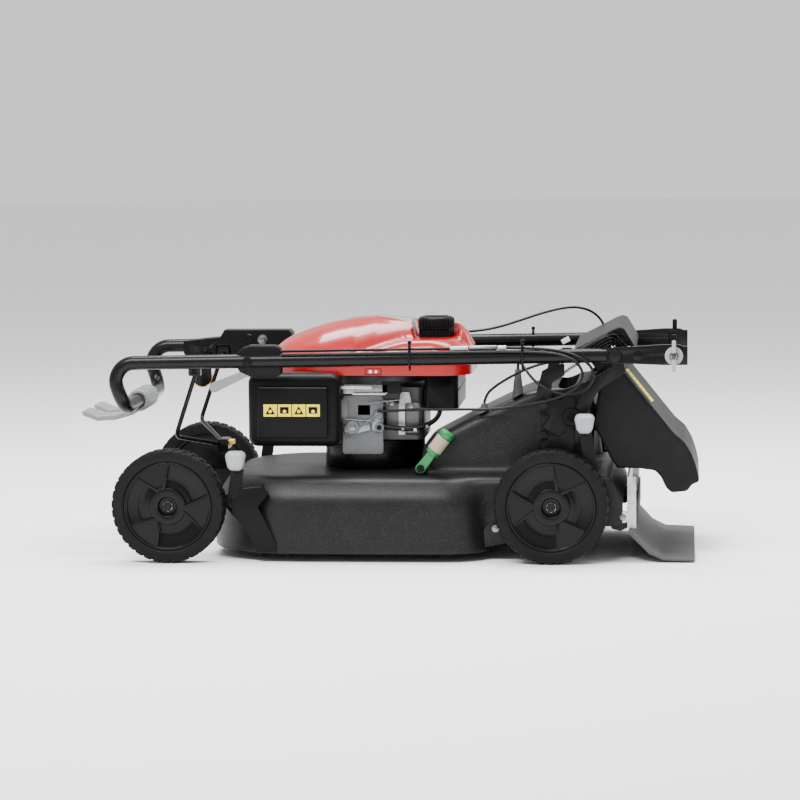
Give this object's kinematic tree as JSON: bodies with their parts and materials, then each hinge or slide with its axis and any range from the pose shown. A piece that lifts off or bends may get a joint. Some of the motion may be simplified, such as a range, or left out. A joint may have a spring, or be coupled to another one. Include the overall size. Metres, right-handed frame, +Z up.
{
  "type": "walk-behind lawn mower",
  "caption": "Walk-behind rotary lawn mower with a polymer deck, engine, rear discharge and a handle folded forward over the engine.",
  "frame": {"origin": "on the ground, at the middle of the folded mower's outline", "axes": "+X to the rear of the mower, -Y to its left side, +Z up"},
  "size_m": [1.13, 0.53, 0.4285],
  "materials": {
    "deck_polymer": "moulded, fine sparkle",
    "black_plastic": "moulded satin",
    "red_cover": "glossy",
    "grey_paddle": "satin",
    "green_lever": "satin",
    "yellow_button": "gloss",
    "tyre_rubber": "moulded tread",
    "shield_rubber": "matte",
    "cable_black": "satin",
    "tube_steel": "black powder coat, satin",
    "black_steel": "black paint",
    "zinc_steel": "zinc plated",
    "cast_aluminium": "as cast",
    "machined_steel": "machined",
    "filter_paper": "pleated paper"
  },
  "bodies": {
    "deck": {"air_cleaner_base": "black_plastic", "air_cleaner_cover": "black_plastic", "air_filter": "filter_paper", "cable_boots": "shield_rubber", "cable_deck": "cable_black", "cable_engine": "cable_black", "cable_far": "cable_black", "cable_loop": "cable_black", "carburettor": "zinc_steel", "cylinder_head": "cast_aluminium", "deck_shell": "deck_polymer", "drive_belt": "cable_black", "engine_base": "black_plastic", "engine_block": "cast_aluminium", "engine_cover": "red_cover", "fuel_hose": "cable_black", "fuel_tank": "black_plastic", "gearbox": "cast_aluminium", "handle_brackets": "tube_steel", "handle_stays": "tube_steel", "muffler": "machined_steel", "mulch_bearing": "black_plastic", "pivot_bolts": "zinc_steel", "rear_hood": "black_plastic", "rear_plate": "zinc_steel", "spark_plug": "black_plastic", "wheel_brackets": "black_plastic"},
    "handle": {"upper_handle": "tube_steel", "control_housing": "black_plastic", "control_box": "black_plastic"},
    "wing_nut_left": {"wing_nut_left": "black_plastic"},
    "wing_nut_right": {"wing_nut_right": "black_plastic"},
    "drive_paddles": {"drive_paddles": "grey_paddle"},
    "lift_lever": {"lift_lever": "grey_paddle"},
    "speed_lever": {"speed_lever": "black_plastic"},
    "bail": {"bail": "tube_steel"},
    "bail_button": {"bail_button": "yellow_button"},
    "fuel_cap": {"fuel_cap": "black_plastic"},
    "crank": {"crankshaft": "machined_steel", "flywheel": "machined_steel", "blades": "machined_steel", "crank_pulley": "machined_steel"},
    "gearbox_pulley": {"gearbox_pulley": "machined_steel"},
    "throttle_lever": {"throttle_lever": "zinc_steel"},
    "mulch_lever": {"mulch_lever": "green_lever"},
    "mulch_door": {"mulch_door": "black_plastic"},
    "discharge_guard": {"discharge_guard": "black_plastic"},
    "trail_shield": {"trail_shield": "shield_rubber"},
    "arm_front_left": {"height_arm_front_left": "black_steel"},
    "wheel_front_left": {"tyre_front_left": "tyre_rubber", "rim_front_left": "black_plastic"},
    "arm_front_right": {"height_arm_front_right": "black_steel"},
    "wheel_front_right": {"tyre_front_right": "tyre_rubber", "rim_front_right": "black_plastic"},
    "arm_rear_left": {"height_arm_rear_left": "black_steel"},
    "wheel_rear_left": {"tyre_rear_left": "tyre_rubber", "rim_rear_left": "black_plastic"},
    "arm_rear_right": {"height_arm_rear_right": "black_steel"},
    "wheel_rear_right": {"tyre_rear_right": "tyre_rubber", "rim_rear_right": "black_plastic"}
  },
  "joints": [
    {"name": "handle_fold", "type": "hinge", "parent": "deck", "child": "handle", "pos_m": [0.415, 0, 0.366], "axis": [0, 1, 0], "range_deg": [0, 143], "deforming": ["cable_far", "cable_loop", "cable_engine"]},
    {"name": "wing_nut_left_turn", "type": "hinge", "parent": "handle", "child": "wing_nut_left", "pos_m": [0.519, -0.2, 0.366], "axis": [0, 1, 0], "continuous": true},
    {"name": "wing_nut_right_turn", "type": "hinge", "parent": "handle", "child": "wing_nut_right", "pos_m": [0.519, 0.2, 0.366], "axis": [0, 1, 0], "continuous": true},
    {"name": "drive_paddle_press", "type": "hinge", "parent": "handle", "child": "drive_paddles", "pos_m": [-0.466, 0, 0.272], "axis": [0, 1, 0], "range_deg": [0, 18], "stiffness_Nm_per_rad": 2, "springref_deg": -20.05},
    {"name": "lift_lever_swing", "type": "hinge", "parent": "handle", "child": "lift_lever", "pos_m": [-0.243, -0.199, 0.3355], "axis": [0, 1, 0], "range_deg": [-16, 16]},
    {"name": "speed_lever_swing", "type": "hinge", "parent": "handle", "child": "speed_lever", "pos_m": [-0.374, 0.172, 0.345], "axis": [0, 1, 0], "range_deg": [-20, 20]},
    {"name": "bail_squeeze", "type": "hinge", "parent": "handle", "child": "bail", "pos_m": [-0.34, 0, 0.339], "axis": [0, 1, 0], "range_deg": [0, 34], "stiffness_Nm_per_rad": 1.5, "springref_deg": -28.65},
    {"name": "bail_button_push", "type": "slide", "parent": "bail", "child": "bail_button", "axis": [-1, 0, 0], "range_m": [0, 0.003], "stiffness_N_per_m": 300, "springref_m": -0.003},
    {"name": "fuel_cap_turn", "type": "hinge", "parent": "deck", "child": "fuel_cap", "pos_m": [0.084, -0.02, 0.4], "axis": [0, 0, 1], "continuous": true},
    {"name": "crank_turn", "type": "hinge", "parent": "deck", "child": "crank", "pos_m": [-0.032, 0, 0.2], "axis": [0, 0, 1], "continuous": true},
    {"name": "gearbox_pulley_turn", "type": "hinge", "parent": "deck", "child": "gearbox_pulley", "pos_m": [0.255, 0.148, 0.134], "axis": [0, 0, 1], "continuous": true},
    {"name": "throttle_lever_swing", "type": "hinge", "parent": "deck", "child": "throttle_lever", "pos_m": [-0.017, -0.131, 0.232], "axis": [0, 1, 0], "range_deg": [-25, 25]},
    {"name": "mulch_lever_swing", "type": "hinge", "parent": "deck", "child": "mulch_lever", "pos_m": [0.066, -0.182, 0.162], "axis": [0, -1, 0], "range_deg": [0, 35]},
    {"name": "mulch_door_swing", "type": "hinge", "parent": "deck", "child": "mulch_door", "pos_m": [0.09, -0.048, 0.199], "axis": [0, 1, 0], "range_deg": [0, 105]},
    {"name": "discharge_guard_lift", "type": "hinge", "parent": "deck", "child": "discharge_guard", "pos_m": [0.386, 0, 0.326], "axis": [0, -1, 0], "range_deg": [0, 50], "stiffness_Nm_per_rad": 0.6, "springref_deg": -57.3},
    {"name": "trail_shield_swing", "type": "hinge", "parent": "deck", "child": "trail_shield", "pos_m": [0.443, 0, 0.054], "axis": [0, -1, 0], "range_deg": [0, 50]},
    {"name": "height_front_left", "type": "hinge", "parent": "deck", "child": "arm_front_left", "pos_m": [-0.268, -0.217, 0.108], "axis": [0, -1, 0], "range_deg": [0, 20]},
    {"name": "roll_front_left", "type": "hinge", "parent": "arm_front_left", "child": "wheel_front_left", "pos_m": [-0.381, -0.243, 0.1016], "axis": [0, 1, 0], "continuous": true},
    {"name": "height_front_right", "type": "hinge", "parent": "deck", "child": "arm_front_right", "pos_m": [-0.268, 0.217, 0.108], "axis": [0, -1, 0], "range_deg": [0, 20]},
    {"name": "roll_front_right", "type": "hinge", "parent": "arm_front_right", "child": "wheel_front_right", "pos_m": [-0.381, 0.243, 0.1016], "axis": [0, 1, 0], "continuous": true},
    {"name": "height_rear_left", "type": "hinge", "parent": "deck", "child": "arm_rear_left", "pos_m": [0.383, -0.217, 0.108], "axis": [0, -1, 0], "range_deg": [0, 30]},
    {"name": "roll_rear_left", "type": "hinge", "parent": "arm_rear_left", "child": "wheel_rear_left", "pos_m": [0.303, -0.243, 0.1016], "axis": [0, 1, 0], "continuous": true},
    {"name": "height_rear_right", "type": "hinge", "parent": "deck", "child": "arm_rear_right", "pos_m": [0.383, 0.217, 0.108], "axis": [0, -1, 0], "range_deg": [0, 30]},
    {"name": "roll_rear_right", "type": "hinge", "parent": "arm_rear_right", "child": "wheel_rear_right", "pos_m": [0.303, 0.243, 0.1016], "axis": [0, 1, 0], "continuous": true}
  ],
  "couplings": [
    {"joint": "gearbox_pulley_turn", "follows": "crank_turn", "ratio": 0.6667},
    {"joint": "mulch_door_swing", "follows": "mulch_lever_swing", "ratio": 3}
  ]
}
